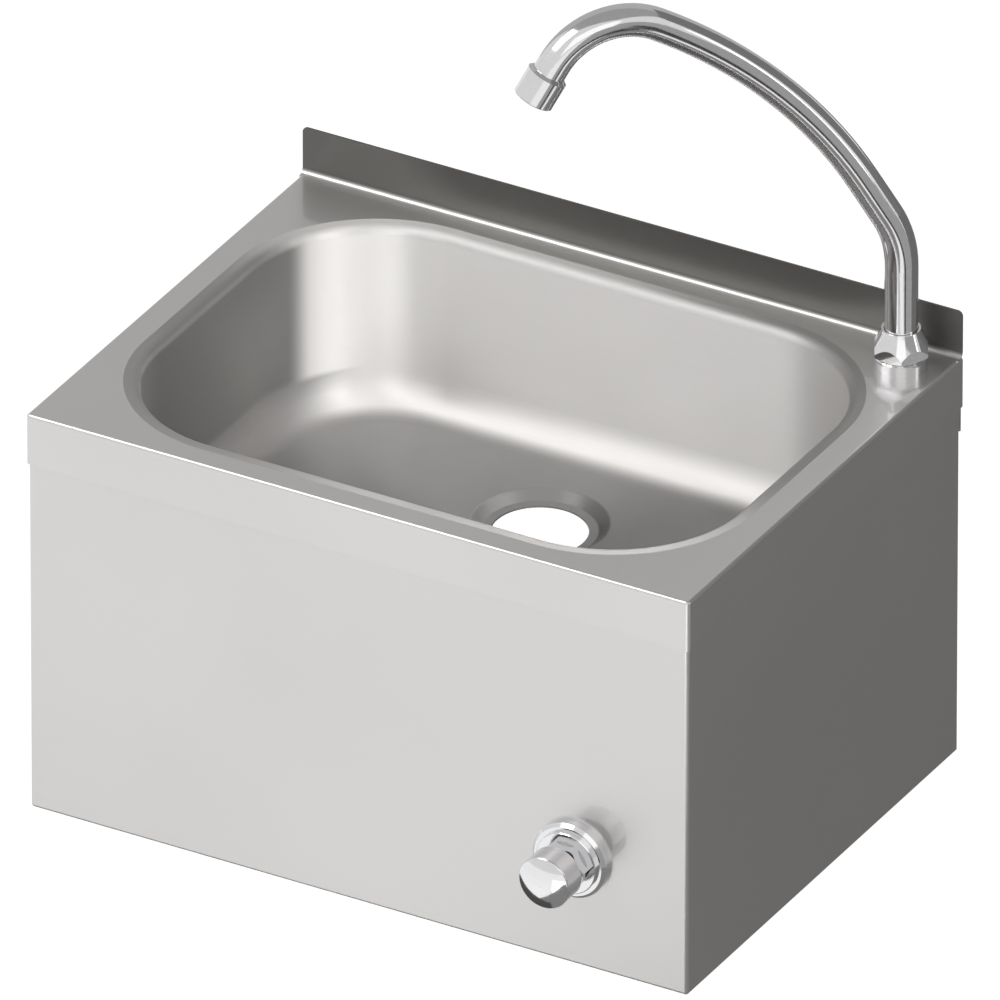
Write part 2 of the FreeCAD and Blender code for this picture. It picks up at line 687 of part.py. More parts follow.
def aerator_housing():
    """Screwed cap with a bevelled shoulder and an inward lip at its mouth."""
    thread_r = TUBE_R + RUNNING_GAP + BUSH_WALL + THREAD_GAP
    collar_r = TUBE_R + RUNNING_GAP
    thread_top = tube_setback() + BUSH_LENGTH + FACE_GAP
    mouth_r = thread_r - AERATOR_LIP
    outline = [
        (mouth_r, 0),
        (AERATOR_R - AERATOR_EDGE, 0),
        (AERATOR_R, AERATOR_EDGE),
        (AERATOR_R, AERATOR_LENGTH - AERATOR_SHOULDER),
        (collar_r + LOOSE_GAP, AERATOR_LENGTH),
        (collar_r, AERATOR_LENGTH),
        (collar_r, thread_top),
        (thread_r, thread_top),
        (thread_r, AERATOR_LIP),
        (mouth_r, AERATOR_LIP),
    ]
    return at_outlet(turned(outline))


def aerator_insert():
    """Perforated insert that mixes air into the stream."""
    radius = TUBE_R + BUSH_WALL
    low = AERATOR_LIP
    insert = rod(radius, low, low + INSERT_LENGTH)
    reach = radius - AERATOR_LIP - 2 * INSERT_HOLE_R
    return at_outlet(insert.cut(hole_field(reach, low - PAST, low + INSERT_LENGTH + PAST)))


def hole_field(reach, low, high):
    """Upright holes on a triangular grid out to reach from the axis."""
    rods = []
    rows = int(reach / INSERT_PITCH) + 1
    for row in range(-rows, rows + 1):
        for column in range(-rows, rows + 1):
            x = (column + row / 2) * INSERT_PITCH
            y = row * INSERT_PITCH * math.sin(math.radians(60))
            if math.hypot(x, y) <= reach:
                rods.append(Part.makeCylinder(INSERT_HOLE_R, high - low, V(x, y, low)))
    return Part.makeCompound(rods)


def aerator_seal():
    low = AERATOR_LIP + INSERT_LENGTH
    return at_outlet(ring(TUBE_R - TUBE_WALL, TUBE_R + BUSH_WALL, low, low + AERATOR_SEAL))


# ----------------------------------------------------------------- push valve
def in_panel(shape):
    """Moves a piece turned about Z to the valve's axis, its +Z out of the front."""
    shape.rotate(ORIGIN, AXIS_X, 90)
    shape.translate(V(VALVE_X, -DEPTH, VALVE_Z))
    return shape


def valve_body():
    """Brass body with its neck through the panel, a side outlet and a bottom inlet."""
    shoulder_front = PANEL_BACK - PANEL_GASKET
    neck_front = LOCK_RING_FRONT - FACE_GAP
    outline = [
        (BODY_BORE_R, BODY_END),
        (BODY_R, BODY_END),
        (BODY_R, shoulder_front - SHOULDER),
        (SHOULDER_R, shoulder_front - SHOULDER),
        (SHOULDER_R, shoulder_front),
        (NECK_R, shoulder_front),
        (NECK_R, neck_front),
        (BODY_BORE_R, neck_front),
    ]
    body = turned(outline)
    inside = (BODY_BORE_R + BODY_R) / 2
    outlet = Part.makeCylinder(OUTLET_PORT_R, OUTLET_PORT_REACH - inside, V(inside, 0, OUTLET_PORT), AXIS_X)
    start = V(0, -inside, INLET_PORT)
    inlet = Part.makeCylinder(TAIL_R, INLET_PORT_REACH - inside, start, -AXIS_Y)
    shoulder_reach = INLET_PORT_REACH - INLET_THREAD
    shoulder = Part.makeCylinder(INLET_SHOULDER_R, shoulder_reach - inside, start, -AXIS_Y)
    body = body.fuse([outlet, inlet, shoulder])
    start = V(CHAMBER_R, 0, OUTLET_PORT)
    outlet_bore = Part.makeCylinder(OUTLET_PORT_BORE, OUTLET_PORT_REACH, start, AXIS_X)
    start = V(0, -CHAMBER_R, INLET_PORT)
    inlet_bore = Part.makeCylinder(INLET_PORT_BORE, INLET_PORT_REACH, start, -AXIS_Y)
    seat_depth = STRAINER_SET + STRAINER
    start = V(0, seat_depth - INLET_PORT_REACH, INLET_PORT)
    strainer_seat = Part.makeCylinder(STRAINER_R + THREAD_GAP, seat_depth + PAST, start, -AXIS_Y)
    bore = rod(BODY_BORE_R, BODY_END - PAST, neck_front + PAST)
    return in_panel(body.cut([outlet_bore, inlet_bore, strainer_seat, bore]))


def inlet_strainer():
    """Fine strainer set into the inlet's mouth."""
    disc = rod(STRAINER_R, STRAINER_SET, STRAINER_SET + STRAINER)
    reach = STRAINER_R - 3 * INSERT_HOLE_R
    disc = disc.cut(hole_field(reach, 0, STRAINER_SET + STRAINER + PAST))
    disc.translate(V(VALVE_X, -DEPTH - INLET_PORT, VALVE_Z - INLET_PORT_REACH))
    return disc


def panel_gasket():
    return in_panel(ring(NECK_R + HOLE_GAP, SHOULDER_R, PANEL_BACK - PANEL_GASKET, PANEL_BACK))


def valve_escutcheon():
    """Trim ring on the panel, hollow behind, with a bevelled front edge."""
    inner = NECK_R + THREAD_GAP
    rim = ESCUTCHEON_R - ESCUTCHEON_WALL
    web = ESCUTCHEON_FRONT - ESCUTCHEON_WALL
    outline = [
        (inner, PANEL_FRONT),
        (inner + ESCUTCHEON_WALL, PANEL_FRONT),
        (inner + ESCUTCHEON_WALL, web),
        (rim - ESCUTCHEON_EDGE, web),
        (rim, web - ESCUTCHEON_EDGE),
        (rim, PANEL_FRONT),
        (ESCUTCHEON_R, PANEL_FRONT),
        (ESCUTCHEON_R, ESCUTCHEON_FRONT - ESCUTCHEON_EDGE),
        (ESCUTCHEON_R - ESCUTCHEON_EDGE, ESCUTCHEON_FRONT),
        (inner, ESCUTCHEON_FRONT),
    ]
    return in_panel(turned(outline))


def valve_lock_ring():
    edge = LOCK_RING / 5
    inner = NECK_R + THREAD_GAP
    outline = [
        (inner, ESCUTCHEON_FRONT),
        (LOCK_RING_R, ESCUTCHEON_FRONT),
        (LOCK_RING_R, LOCK_RING_FRONT - edge),
        (LOCK_RING_R - edge, LOCK_RING_FRONT),
        (inner, LOCK_RING_FRONT),
    ]
    return in_panel(turned(outline))


def valve_cartridge():
    """Hexagon head outside, and a sleeve inside with the stem guide, chamber and seat."""
    bore_r = STEM_R + RUNNING_GAP
    seat_front = SEAT_REAR + SEAT_WALL
    groove_low = OUTLET_PORT - CARTRIDGE_GROOVE / 2
    groove_high = OUTLET_PORT + CARTRIDGE_GROOVE / 2
    outline = [(SEAT_HOLE_R, SEAT_REAR), (SLEEVE_R, SEAT_REAR)]
    outline += groove(cartridge_seal_heights()[0], SLEEVE_R, CARTRIDGE_ORING_R)
    outline += [(SLEEVE_R, groove_low), (CARTRIDGE_GROOVE_R, groove_low)]
    outline += [(CARTRIDGE_GROOVE_R, groove_high), (SLEEVE_R, groove_high)]
    outline += groove(cartridge_seal_heights()[1], SLEEVE_R, CARTRIDGE_ORING_R)
    outline += [
        (SLEEVE_R, HEAD_FRONT - PAST),
        (bore_r, HEAD_FRONT - PAST),
        (bore_r, CHAMBER_FRONT),
        (CHAMBER_R, CHAMBER_FRONT),
        (CHAMBER_R, seat_front),
        (SEAT_HOLE_R, seat_front),
    ]
    sleeve = turned(outline)
    head = chamfered_hexagon(CARTRIDGE_FLATS, LOCK_RING_FRONT, HEAD_FRONT, both=False)
    cartridge = sleeve.fuse(head.cut(rod(bore_r, LOCK_RING_FRONT - PAST, HEAD_FRONT + PAST)))
    windows = []
    for k in range(4):
        direction = V(math.cos(math.radians(90 * k)), math.sin(math.radians(90 * k)), 0)
        start = direction * (CHAMBER_R - PAST) + V(0, 0, OUTLET_PORT)
        windows.append(Part.makeCylinder(PORT_WINDOW_R, BODY_BORE_R, start, direction))
    return in_panel(cartridge.cut(Part.makeCompound(windows)))


def groove(middle, radius, section_r):
    """Outline of an O-ring groove cut into a radius, from low to high."""
    half = section_r + RUNNING_GAP
    floor = radius - 2 * section_r
    return [(radius, middle - half), (floor, middle - half), (floor, middle + half), (radius, middle + half)]


def cartridge_seal_heights():
    """The two O-rings sit either side of the outlet port."""
    offset = CARTRIDGE_GROOVE / 2 + 3 * CARTRIDGE_ORING_R
    return [OUTLET_PORT - offset, OUTLET_PORT + offset]


def cartridge_o_rings():
    return in_panel(round_rings(CARTRIDGE_ORING_R, SLEEVE_R + RUNNING_GAP, cartridge_seal_heights()))


def valve_rear_cap():
    """Plug screwed into the back of the body."""
    head = chamfered_hexagon(CAP_FLATS, BODY_END - CAP_HEAD, BODY_END)
    return in_panel(head.fuse(rod(SLEEVE_R, BODY_END, BODY_END + CAP_PLUG)))


# -------------------------------------------------------- what the thumb moves
def push_button():
    """Hollow cap with a shallow domed front and a boss for the stem."""
    inner_r = BUTTON_R - BUTTON_WALL
    crown = V(0, 0, BUTTON_RIM + BUTTON_DOME)
    sphere_r = (BUTTON_R ** 2 + BUTTON_DOME ** 2) / (2 * BUTTON_DOME)
    half_angle = math.asin(BUTTON_R / sphere_r) / 2
    middle = V(sphere_r * math.sin(half_angle), 0, crown.z - sphere_r * (1 - math.cos(half_angle)))
    outline = [
        V(BUTTON_R, 0, BUTTON_RIM),
        V(BUTTON_R, 0, BUTTON_REAR),
        V(inner_r, 0, BUTTON_REAR),
        V(inner_r, 0, BUTTON_INSIDE),
        V(BUTTON_BOSS_R, 0, BUTTON_INSIDE),
        V(BUTTON_BOSS_R, 0, BUTTON_INSIDE - BUTTON_BOSS),
        V(STEM_R + TINY, 0, BUTTON_INSIDE - BUTTON_BOSS),
        V(STEM_R + TINY, 0, BUTTON_INSIDE),
        V(0, 0, BUTTON_INSIDE),
        crown,
    ]
    edges = [Part.makeLine(a, b) for a, b in zip(outline, outline[1:])]
    edges.append(Part.Arc(crown, middle, outline[0]).toShape())
    cap = Part.Face(Part.Wire(edges)).revolve(ORIGIN, AXIS_Z, 360)
    rim = [e for e in edges_level(cap, BUTTON_RIM) if e.BoundBox.XMax > BUTTON_R - TINY]
    return in_panel(cap.makeFillet(BUTTON_EDGE, rim))


def button_stem():
    return in_panel(rod(STEM_R, STEM_REAR, STEM_FRONT))


def timing_piston():
    """Piston whose slow return times the flow."""
    radius = CHAMBER_R - RUNNING_GAP
    front = PISTON_REAR + PISTON
    floor = radius - PISTON / 4
    outline = [
        (STEM_R + TINY, PISTON_REAR),
        (radius, PISTON_REAR),
        (radius, PISTON_REAR + PISTON / 4),
        (floor, PISTON_REAR + PISTON / 4),
        (floor, front - PISTON / 4),
        (radius, front - PISTON / 4),
        (radius, front),
        (STEM_R + TINY, front),
    ]
    return in_panel(turned(outline))


def piston_seal():
    radius = CHAMBER_R - RUNNING_GAP
    return in_panel(ring(radius - PISTON / 4, radius, PISTON_REAR + PISTON / 4, PISTON_REAR + PISTON * 3 / 4))


def valve_disc():
    """Rubber disc held against the seat by the supply pressure."""
    return in_panel(ring(STEM_R + TINY, DISC_R, DISC_REAR, DISC_FRONT))


def disc_holder():
    lip = DISC_HOLDER_R - DISC_R
    outline = [
        (STEM_R + TINY, HOLDER_REAR),
        (DISC_HOLDER_R, HOLDER_REAR),
        (DISC_HOLDER_R, DISC_REAR + DISC / 2),
        (DISC_HOLDER_R - lip, DISC_REAR + DISC / 2),
        (DISC_HOLDER_R - lip, DISC_REAR),
        (STEM_R + TINY, DISC_REAR),
    ]
    return in_panel(turned(outline))


def disc_nut():
    nut = chamfered_hexagon(DISC_NUT_FLATS, STEM_REAR, HOLDER_REAR)
    return in_panel(nut.cut(rod(STEM_R + TINY, STEM_REAR - PAST, HOLDER_REAR + PAST)))


def return_spring():
    """Coil between the cartridge's head and the inside of the button."""
    low = HEAD_FRONT + SPRING_WIRE_R + FACE_GAP
    high = BUTTON_INSIDE - SPRING_WIRE_R - FACE_GAP
    steps = SPRING_TURNS * 4
    edges = []
    for k in range(steps):
        points = []
        for share in (0, 0.5, 1):
            angle = math.radians(90) * (k + share)
            height = low + (high - low) * (k + share) / steps
            points.append(V(SPRING_R * math.cos(angle), SPRING_R * math.sin(angle), height))
        edges.append(Part.Arc(*points).toShape())
    return in_panel(swept(Part.Wire(edges), SPRING_WIRE_R))


# ------------------------------------------------------------------ feed pipe
def pipe_points():
    """Corners of the pipe: off the valve, along the right side, up to the tap."""
    y_valve = -DEPTH - OUTLET_PORT
    x_side = HALF - 2 * SHEET - PIPE_SIDE_GAP - PIPE_R
    start = V(VALVE_X + OUTLET_PORT_REACH + PIPE_SEAL, y_valve, VALVE_Z)
    top = V(TAP_X, TAP_Y, DECK_Z - TAIL_LENGTH - PIPE_SEAL)
    return [
        start,
        V(x_side, y_valve, VALVE_Z),
        V(x_side, TAP_Y - PIPE_TURN_UP, VALVE_Z),
        V(TAP_X, TAP_Y, VALVE_Z + PIPE_CLIMB),
        top,
    ]


def feed_pipe():
    """Bent pipe with a brazed collar at each end."""
    points = pipe_points()
    route = rounded_route(points, PIPE_BEND)
    lower = Part.makeCylinder(OUTLET_PORT_R - THREAD_GAP, PIPE_COLLAR, points[0], AXIS_X)
    upper = Part.makeCylinder(TAIL_R - THREAD_GAP, PIPE_COLLAR, points[-1], -AXIS_Z)
    pipe = swept(route, PIPE_R).fuse([lower, upper])
    return pipe.cut(swept(route, PIPE_R - PIPE_WALL))


def feed_nut(thread_r, flats):
    """Union nut about Z: its thread from 0 downwards, its end wall below the collar."""
    wall_top = -FEED_NUT_GRIP - PIPE_SEAL - PIPE_COLLAR - FACE_GAP
    nut = chamfered_hexagon(flats, wall_top - FEED_NUT_WALL, 0)
    bore = rod(thread_r + THREAD_GAP, wall_top, PAST)
    hole = rod(PIPE_R + LOOSE_GAP, wall_top - FEED_NUT_WALL - PAST, PAST)
    return nut.cut([bore, hole])


def lower_feed_nut():
    nut = feed_nut(OUTLET_PORT_R, LOWER_NUT_FLATS)
    nut.rotate(ORIGIN, AXIS_Y, -90)
    nut.translate(V(VALVE_X + OUTLET_PORT_REACH - FEED_NUT_GRIP, -DEPTH - OUTLET_PORT, VALVE_Z))
    return nut


def upper_feed_nut():
    nut = feed_nut(TAIL_R, UPPER_NUT_FLATS)
    nut.translate(V(TAP_X, TAP_Y, DECK_Z - TAIL_LENGTH + FEED_NUT_GRIP))
    return nut


def lower_feed_seal():
    start = V(VALVE_X + OUTLET_PORT_REACH, -DEPTH - OUTLET_PORT, VALVE_Z)
    seal = ring(OUTLET_PORT_BORE, OUTLET_PORT_R - THREAD_GAP, 0, PIPE_SEAL)
    seal.rotate(ORIGIN, AXIS_Y, 90)
    seal.translate(start)
    return seal


def upper_feed_seal():
    seal = ring(TAIL_BORE_R, TAIL_R - THREAD_GAP, -PIPE_SEAL, 0)
    seal.translate(V(TAP_X, TAP_Y, DECK_Z - TAIL_LENGTH))
    return seal


SUB_PARTS = [
    deck_plate, bowl, housing_panel, wall_rail,
    tap_pillar, collar_gasket, deck_rubber_washer, deck_steel_washer, tap_backnut,
    spout_nut, lower_slip_ring,
    spout_tube, spout_tail, spout_o_rings, upper_slip_ring,
    outlet_bush, aerator_housing, aerator_insert, aerator_seal,
    valve_body, inlet_strainer, panel_gasket, valve_escutcheon, valve_lock_ring,
    valve_cartridge, cartridge_o_rings, valve_rear_cap,
    push_button, button_stem, timing_piston, piston_seal, valve_disc, disc_holder, disc_nut,
    return_spring,
    feed_pipe, lower_feed_nut, upper_feed_nut, lower_feed_seal, upper_feed_seal,
]


def main():
    os.makedirs("parts", exist_ok=True)
    for make in SUB_PARTS:
        shape = make()
        shape.exportStep(os.path.join("parts", make.__name__ + ".step"))
        print(f"{make.__name__:20s} valid {shape.isValid()} solids {len(shape.Solids)}")


main()
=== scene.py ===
import json
import math

import bpy
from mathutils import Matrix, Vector


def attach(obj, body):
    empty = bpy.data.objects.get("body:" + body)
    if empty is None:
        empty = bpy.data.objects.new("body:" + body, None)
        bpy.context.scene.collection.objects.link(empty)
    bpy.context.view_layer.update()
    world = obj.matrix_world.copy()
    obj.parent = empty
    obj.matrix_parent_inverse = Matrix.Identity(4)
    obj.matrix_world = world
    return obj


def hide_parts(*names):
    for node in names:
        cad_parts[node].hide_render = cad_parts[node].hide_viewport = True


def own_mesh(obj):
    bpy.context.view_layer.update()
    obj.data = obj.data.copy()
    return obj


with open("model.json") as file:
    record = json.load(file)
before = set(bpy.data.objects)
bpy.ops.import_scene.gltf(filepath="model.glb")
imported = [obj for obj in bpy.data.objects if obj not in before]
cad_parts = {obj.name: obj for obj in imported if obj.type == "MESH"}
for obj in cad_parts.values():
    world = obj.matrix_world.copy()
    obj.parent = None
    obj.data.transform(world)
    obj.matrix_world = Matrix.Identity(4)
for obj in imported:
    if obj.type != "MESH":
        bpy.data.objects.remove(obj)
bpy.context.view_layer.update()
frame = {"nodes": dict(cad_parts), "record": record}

# The dressed sink: its CAD nodes with procedural steels, chrome, brass, rubber and
# plastic, in a plain studio. Metres, in the frame of the CAD.
NODES = frame["nodes"]

# ------------------------------------------------------------------- camera
AZIMUTH = math.radians(29.51)
ELEVATION = math.radians(30.18)
FRAME_WIDTH = 0.5264        # metres across the picture at the object
HALF_ANGLE = math.radians(0.62)
LOOK_AT = Vector((0.01727, -0.17235, -0.0281))

# ---------------------------------------------------------------- the stage
FLOOR_Z = -0.85             # a basin's height above the floor
FLOOR_SIZE = 60.0
FLOOR_GREY = 0.5            # the floor's own colour, which takes the shadow
FLOOR_LIFT = 0.92           # brings the lit floor up to white for the camera
WORLD_LIGHT = 0.25          # even light from all around
STAGE_CENTRE = Vector((0.0, -0.15, 0.0))
CARD_COLOUR = (1.0, 0.985, 0.97)

# Grey cards that only reflections see: name, direction from the stage's centre,
# distance, width, height and level, where 1 is the white of the stage.
CARDS = [
    ("card_back", (-0.43, 0.75, 0.50), 1.6, 3.0, 2.2, 0.50),
    ("card_back_right", (0.62, 0.75, 0.35), 1.5, 1.3, 1.6, 0.20),
    ("card_right_low", (0.43, 0.75, -0.50), 0.8, 1.3, 1.0, 0.17),
    ("card_right", (0.97, -0.21, -0.12), 1.6, 2.0, 1.6, 0.38),
    ("card_stripe", (0.80, -0.35, -0.45), 1.2, 0.16, 1.2, 0.06),
    ("card_below", (0.45, -0.27, -0.85), 0.6, 0.9, 0.7, 0.25),
    ("card_low_left", (-0.28, -0.24, -0.50), 0.618, 0.66, 0.22, 0.08),
    ("card_ceiling", (0, 0.1, 1), 2.0, 4.0, 3.0, 0.38),
    ("card_front", (0.53, -0.69, 0.45), 1.5, 1.0, 0.7, 1.25),
]
LEVEL_CARD = "card_low_left"    # lies level, under the front

# Soft lamps, in the same order, then the one node that a lamp lights or None for all.
LAMPS = [
    ("key", (-0.43, -0.50, 0.75), 1.6, 1.0, 0.7, 3.2, None),
    ("low_strip", (0.20, -0.84, -0.50), 1.2, 0.35, 0.5, 1.4, None),
    ("side_strip", (0.935, 0.25, 0.25), 1.4, 0.12, 0.8, 2.0, None),
    ("bowl_front", (-0.43, -0.75, 0.40), 1.6, 0.7, 0.5, 3.8, "bowl"),
    ("bowl_fill", (0.53, -0.69, 0.45), 1.6, 1.7, 0.9, 10.0, "bowl"),
    ("bowl_right", (0.85, -0.10, 0.45), 1.6, 0.9, 0.7, 5.0, "bowl"),
]

# ------------------------------------------------------------- the finishes
NOISE_SPAN = (0.3, 0.7)             # what a noise mostly spans
CLOUDS = (6, 6, 6)                  # noise scales along X, Y and Z, per metre
POLISHING_MARKS = (300, 300, 300)
MOULDED_GRAIN = (900, 900, 900)

STEEL_HUE = (1.0, 0.98, 0.965)
STEEL_LIGHT = 0.70
STEEL_CLOUD = 0.95                  # darkest cloud, as a share of the steel's colour
STEEL_GRAIN_DEPTH = 0.00002
GLOSS_IOR = 2.1                     # thin clear gloss over the brushed sheets
GLOSS_ROUGHNESS = 0.04

SHEET_GRAIN = (20, 3000, 3000)      # lines along X
SHEET_ROUGHNESS = 0.36
SHEET_METAL = 0.85
SHEET_GLOSS = 0.8
DECK_GLOSS = 1.0

# The upstand's softer finish and its painted shade, a darker colour: its heights, its
# painted shade from left to right.
UPSTAND_FOOT = (0.0245, 0.0275)
UPSTAND_SHADE_FADE = (-0.18, -0.05)
UPSTAND_SHADE_LEFT = (0.150, 0.147, 0.140)
UPSTAND_SHADE_RIGHT = (0.22, 0.216, 0.206)
UPSTAND_ROUGHNESS = 0.45

BOWL_GRAIN = (30, 30, 3000)         # lines round the walls
BOWL_ROUGHNESS = 0.55
BOWL_ANISOTROPY = 0.8
QUARTER_TURN = 0.25
# Painted shade in the bowl, a darker steel in these places: from where each is full to where
# it ends, and its light.
BOWL_FLOOR = (-0.0845, -0.0795)     # heights of the floor
BOWL_FLOOR_PAINTED_SHADE = 0.275
BOWL_ENDS = (0.1700, 0.1630)        # the two end walls, either side of X 0
BOWL_ENDS_PAINTED_SHADE = 0.26
BOWL_FOOT = (-0.0660, -0.0600)      # heights of the walls' rounded foot
BOWL_FOOT_ENDS = (0.1680, 0.1400)   # and where that painted shade is, either side of X 0
BOWL_FOOT_PAINTED_SHADE = 0.34
BOWL_RIM = (0.0215, 0.0180)         # heights of the rounded rim
BOWL_RIM_PAINTED_SHADE = 0.52


def back_vector():
    """Unit vector from the object towards the camera."""
    return Vector((
        math.sin(AZIMUTH) * math.cos(ELEVATION),
        -math.cos(AZIMUTH) * math.cos(ELEVATION),
        math.sin(ELEVATION),
    ))


def make_camera():
    """Long lens from far off, for the photograph's parallel view."""
    data = bpy.data.cameras.new("camera")
    data.sensor_width = 36.0
    data.lens = data.sensor_width / 2 / math.tan(HALF_ANGLE)
    camera = bpy.data.objects.new("camera", data)
    bpy.context.scene.collection.objects.link(camera)
    back = back_vector()
    distance = FRAME_WIDTH / 2 / math.tan(HALF_ANGLE)
    camera.location = LOOK_AT + back * distance
    camera.rotation_mode = "QUATERNION"
    camera.rotation_quaternion = (-back).to_track_quat("-Z", "Y")
    data.clip_end = 1000
    bpy.context.scene.camera = camera


# ------------------------------------------------------------- node helpers
class Nodes:
    """Adds and links the nodes of one shader."""

    def __init__(self, tree):
        self.tree = tree
        self.tree.nodes.clear()

    def add(self, kind, **settings):
        node = self.tree.nodes.new(kind)
        for key, value in settings.items():
            setattr(node, key, value)
        return node

    def link(self, source, target):
        self.tree.links.new(source, target)


def new_material(name):
    """A material with a Principled shader, still to be filled in."""
    material = bpy.data.materials.new(name)
    material.use_nodes = True
    nodes = Nodes(material.node_tree)
    output = nodes.add("ShaderNodeOutputMaterial")
    shader = nodes.add("ShaderNodeBsdfPrincipled")
    nodes.link(shader.outputs["BSDF"], output.inputs["Surface"])
    return material, nodes, shader


def stretched_noise(nodes, scale, detail):
    """Noise in the frame's own axes, drawn out by a scale for each axis."""
    place = nodes.add("ShaderNodeTexCoord")
    mapping = nodes.add("ShaderNodeMapping")
    mapping.inputs["Scale"].default_value = scale
    noise = nodes.add("ShaderNodeTexNoise")
    noise.inputs["Scale"].default_value = 1.0
    noise.inputs["Detail"].default_value = detail
    nodes.link(place.outputs["Object"], mapping.inputs["Vector"])
    nodes.link(mapping.outputs["Vector"], noise.inputs["Vector"])
    return noise.outputs["Fac"]


def ramp(nodes, value, low, high):
    """Maps a noise value to a number between low and high."""
    node = nodes.add("ShaderNodeMapRange")
    node.inputs["From Min"].default_value = NOISE_SPAN[0]
    node.inputs["From Max"].default_value = NOISE_SPAN[1]
    node.inputs["To Min"].default_value = low
    node.inputs["To Max"].default_value = high
    nodes.link(value, node.inputs["Value"])
    return node.outputs["Result"]


def tint(nodes, value, dark, light):
    """Maps a noise value to a colour between dark and light."""
    node = nodes.add("ShaderNodeMix", data_type="RGBA")
    node.inputs["A"].default_value = (*dark, 1)
    node.inputs["B"].default_value = (*light, 1)
    nodes.link(ramp(nodes, value, 0.0, 1.0), node.inputs["Factor"])
    return node.outputs["Result"]


def bump(nodes, value, distance, strength):
    """Normals for a grain of that depth."""
    node = nodes.add("ShaderNodeBump")
    node.inputs["Distance"].default_value = distance
    node.inputs["Strength"].default_value = strength
    nodes.link(value, node.inputs["Height"])
    return node.outputs["Normal"]


def above(nodes, axis, low, high, either_side=False):
    """Rises from 0 at one place of the frame to 1 at the other, along an axis."""
    place = nodes.add("ShaderNodeTexCoord")
    split = nodes.add("ShaderNodeSeparateXYZ")
    step = nodes.add("ShaderNodeMapRange", interpolation_type="SMOOTHSTEP")
    step.inputs["From Min"].default_value = low
    step.inputs["From Max"].default_value = high
    nodes.link(place.outputs["Object"], split.inputs["Vector"])
    along = split.outputs[axis]
    if either_side:
        size = nodes.add("ShaderNodeMath", operation="ABSOLUTE")
        nodes.link(along, size.inputs[0])
        along = size.outputs[0]
    nodes.link(along, step.inputs["Value"])
    return step.outputs["Result"]


def mix_values(nodes, share, first, second):
    """One number where the share is 0 and another where it is 1."""
    node = nodes.add("ShaderNodeMix", data_type="FLOAT")
    nodes.link(share, node.inputs["Factor"])
    for value, socket in ((first, node.inputs["A"]), (second, node.inputs["B"])):
        if isinstance(value, (int, float)):
            socket.default_value = value
        else:
            nodes.link(value, socket)
    return node.outputs["Result"]


# ---------------------------------------------------------------- materials
def steel_of(light):
    return tuple(light * part for part in STEEL_HUE)


def satin_steel(name, grain, roughness, metal, gloss):
    """Stainless steel with a fine brushed grain and faint clouds, under a clear gloss.

    Gives the colour and the roughness too, which each steel links in its own way.
    """
    material, nodes, shader = new_material(name)
    fine = stretched_noise(nodes, grain, detail=4.0)
    cloud = stretched_noise(nodes, CLOUDS, detail=2.0)
    pale = steel_of(STEEL_LIGHT)
    dark = tuple(STEEL_CLOUD * part for part in pale)
    steel = tint(nodes, cloud, dark, pale)
    rough = ramp(nodes, fine, roughness - 0.03, roughness + 0.03)
    nodes.link(bump(nodes, fine, STEEL_GRAIN_DEPTH, 0.3), shader.inputs["Normal"])
    shader.inputs["Metallic"].default_value = metal
    shader.inputs["Coat Weight"].default_value = gloss
    shader.inputs["Coat IOR"].default_value = GLOSS_IOR
    shader.inputs["Coat Roughness"].default_value = GLOSS_ROUGHNESS
    return material, nodes, shader, steel, rough


def bowl_steel(name):
    """The bowl's steel: brushed round and round, so it gleams up and down its walls, with
    painted shade on its floor, its end walls, the rounded foot of the end walls and its rim.
    """
    material, nodes, shader, steel, rough = satin_steel(
        name, BOWL_GRAIN, BOWL_ROUGHNESS, metal=1.0, gloss=0.0)
    foot = nodes.add("ShaderNodeMath", operation="MAXIMUM")
    nodes.link(above(nodes, "Z", *BOWL_FOOT), foot.inputs[0])
    nodes.link(above(nodes, "X", *BOWL_FOOT_ENDS, either_side=True), foot.inputs[1])
    # Painted shade: the floor, the end walls, the foot of the end walls and the rim get a
    # darker steel.
    painted_shades = [
        (above(nodes, "Z", *BOWL_FLOOR), BOWL_FLOOR_PAINTED_SHADE),
        (above(nodes, "X", *BOWL_ENDS, either_side=True), BOWL_ENDS_PAINTED_SHADE),
        (foot.outputs[0], BOWL_FOOT_PAINTED_SHADE),
        (above(nodes, "Z", *BOWL_RIM), BOWL_RIM_PAINTED_SHADE),
    ]
    colour = steel
    for elsewhere, light in painted_shades:
        layer = nodes.add("ShaderNodeMix", data_type="RGBA")
        nodes.link(elsewhere, layer.inputs["Factor"])
        nodes.link(colour, layer.inputs["B"])
        layer.inputs["A"].default_value = (*steel_of(light), 1)
        colour = layer.outputs["Result"]
    nodes.link(colour, shader.inputs["Base Color"])
    nodes.link(rough, shader.inputs["Roughness"])
    around = nodes.add("ShaderNodeTangent", direction_type="RADIAL", axis="Z")
    nodes.link(around.outputs["Tangent"], shader.inputs["Tangent"])
    shader.inputs["Anisotropic"].default_value = BOWL_ANISOTROPY
    shader.inputs["Anisotropic Rotation"].default_value = QUARTER_TURN
    return material


def sheet_steel(name):
    """The steel of the housing and the rail."""
    material, nodes, shader, steel, rough = satin_steel(
        name, SHEET_GRAIN, SHEET_ROUGHNESS, SHEET_METAL, SHEET_GLOSS)
    nodes.link(steel, shader.inputs["Base Color"])
    nodes.link(rough, shader.inputs["Roughness"])
    return material


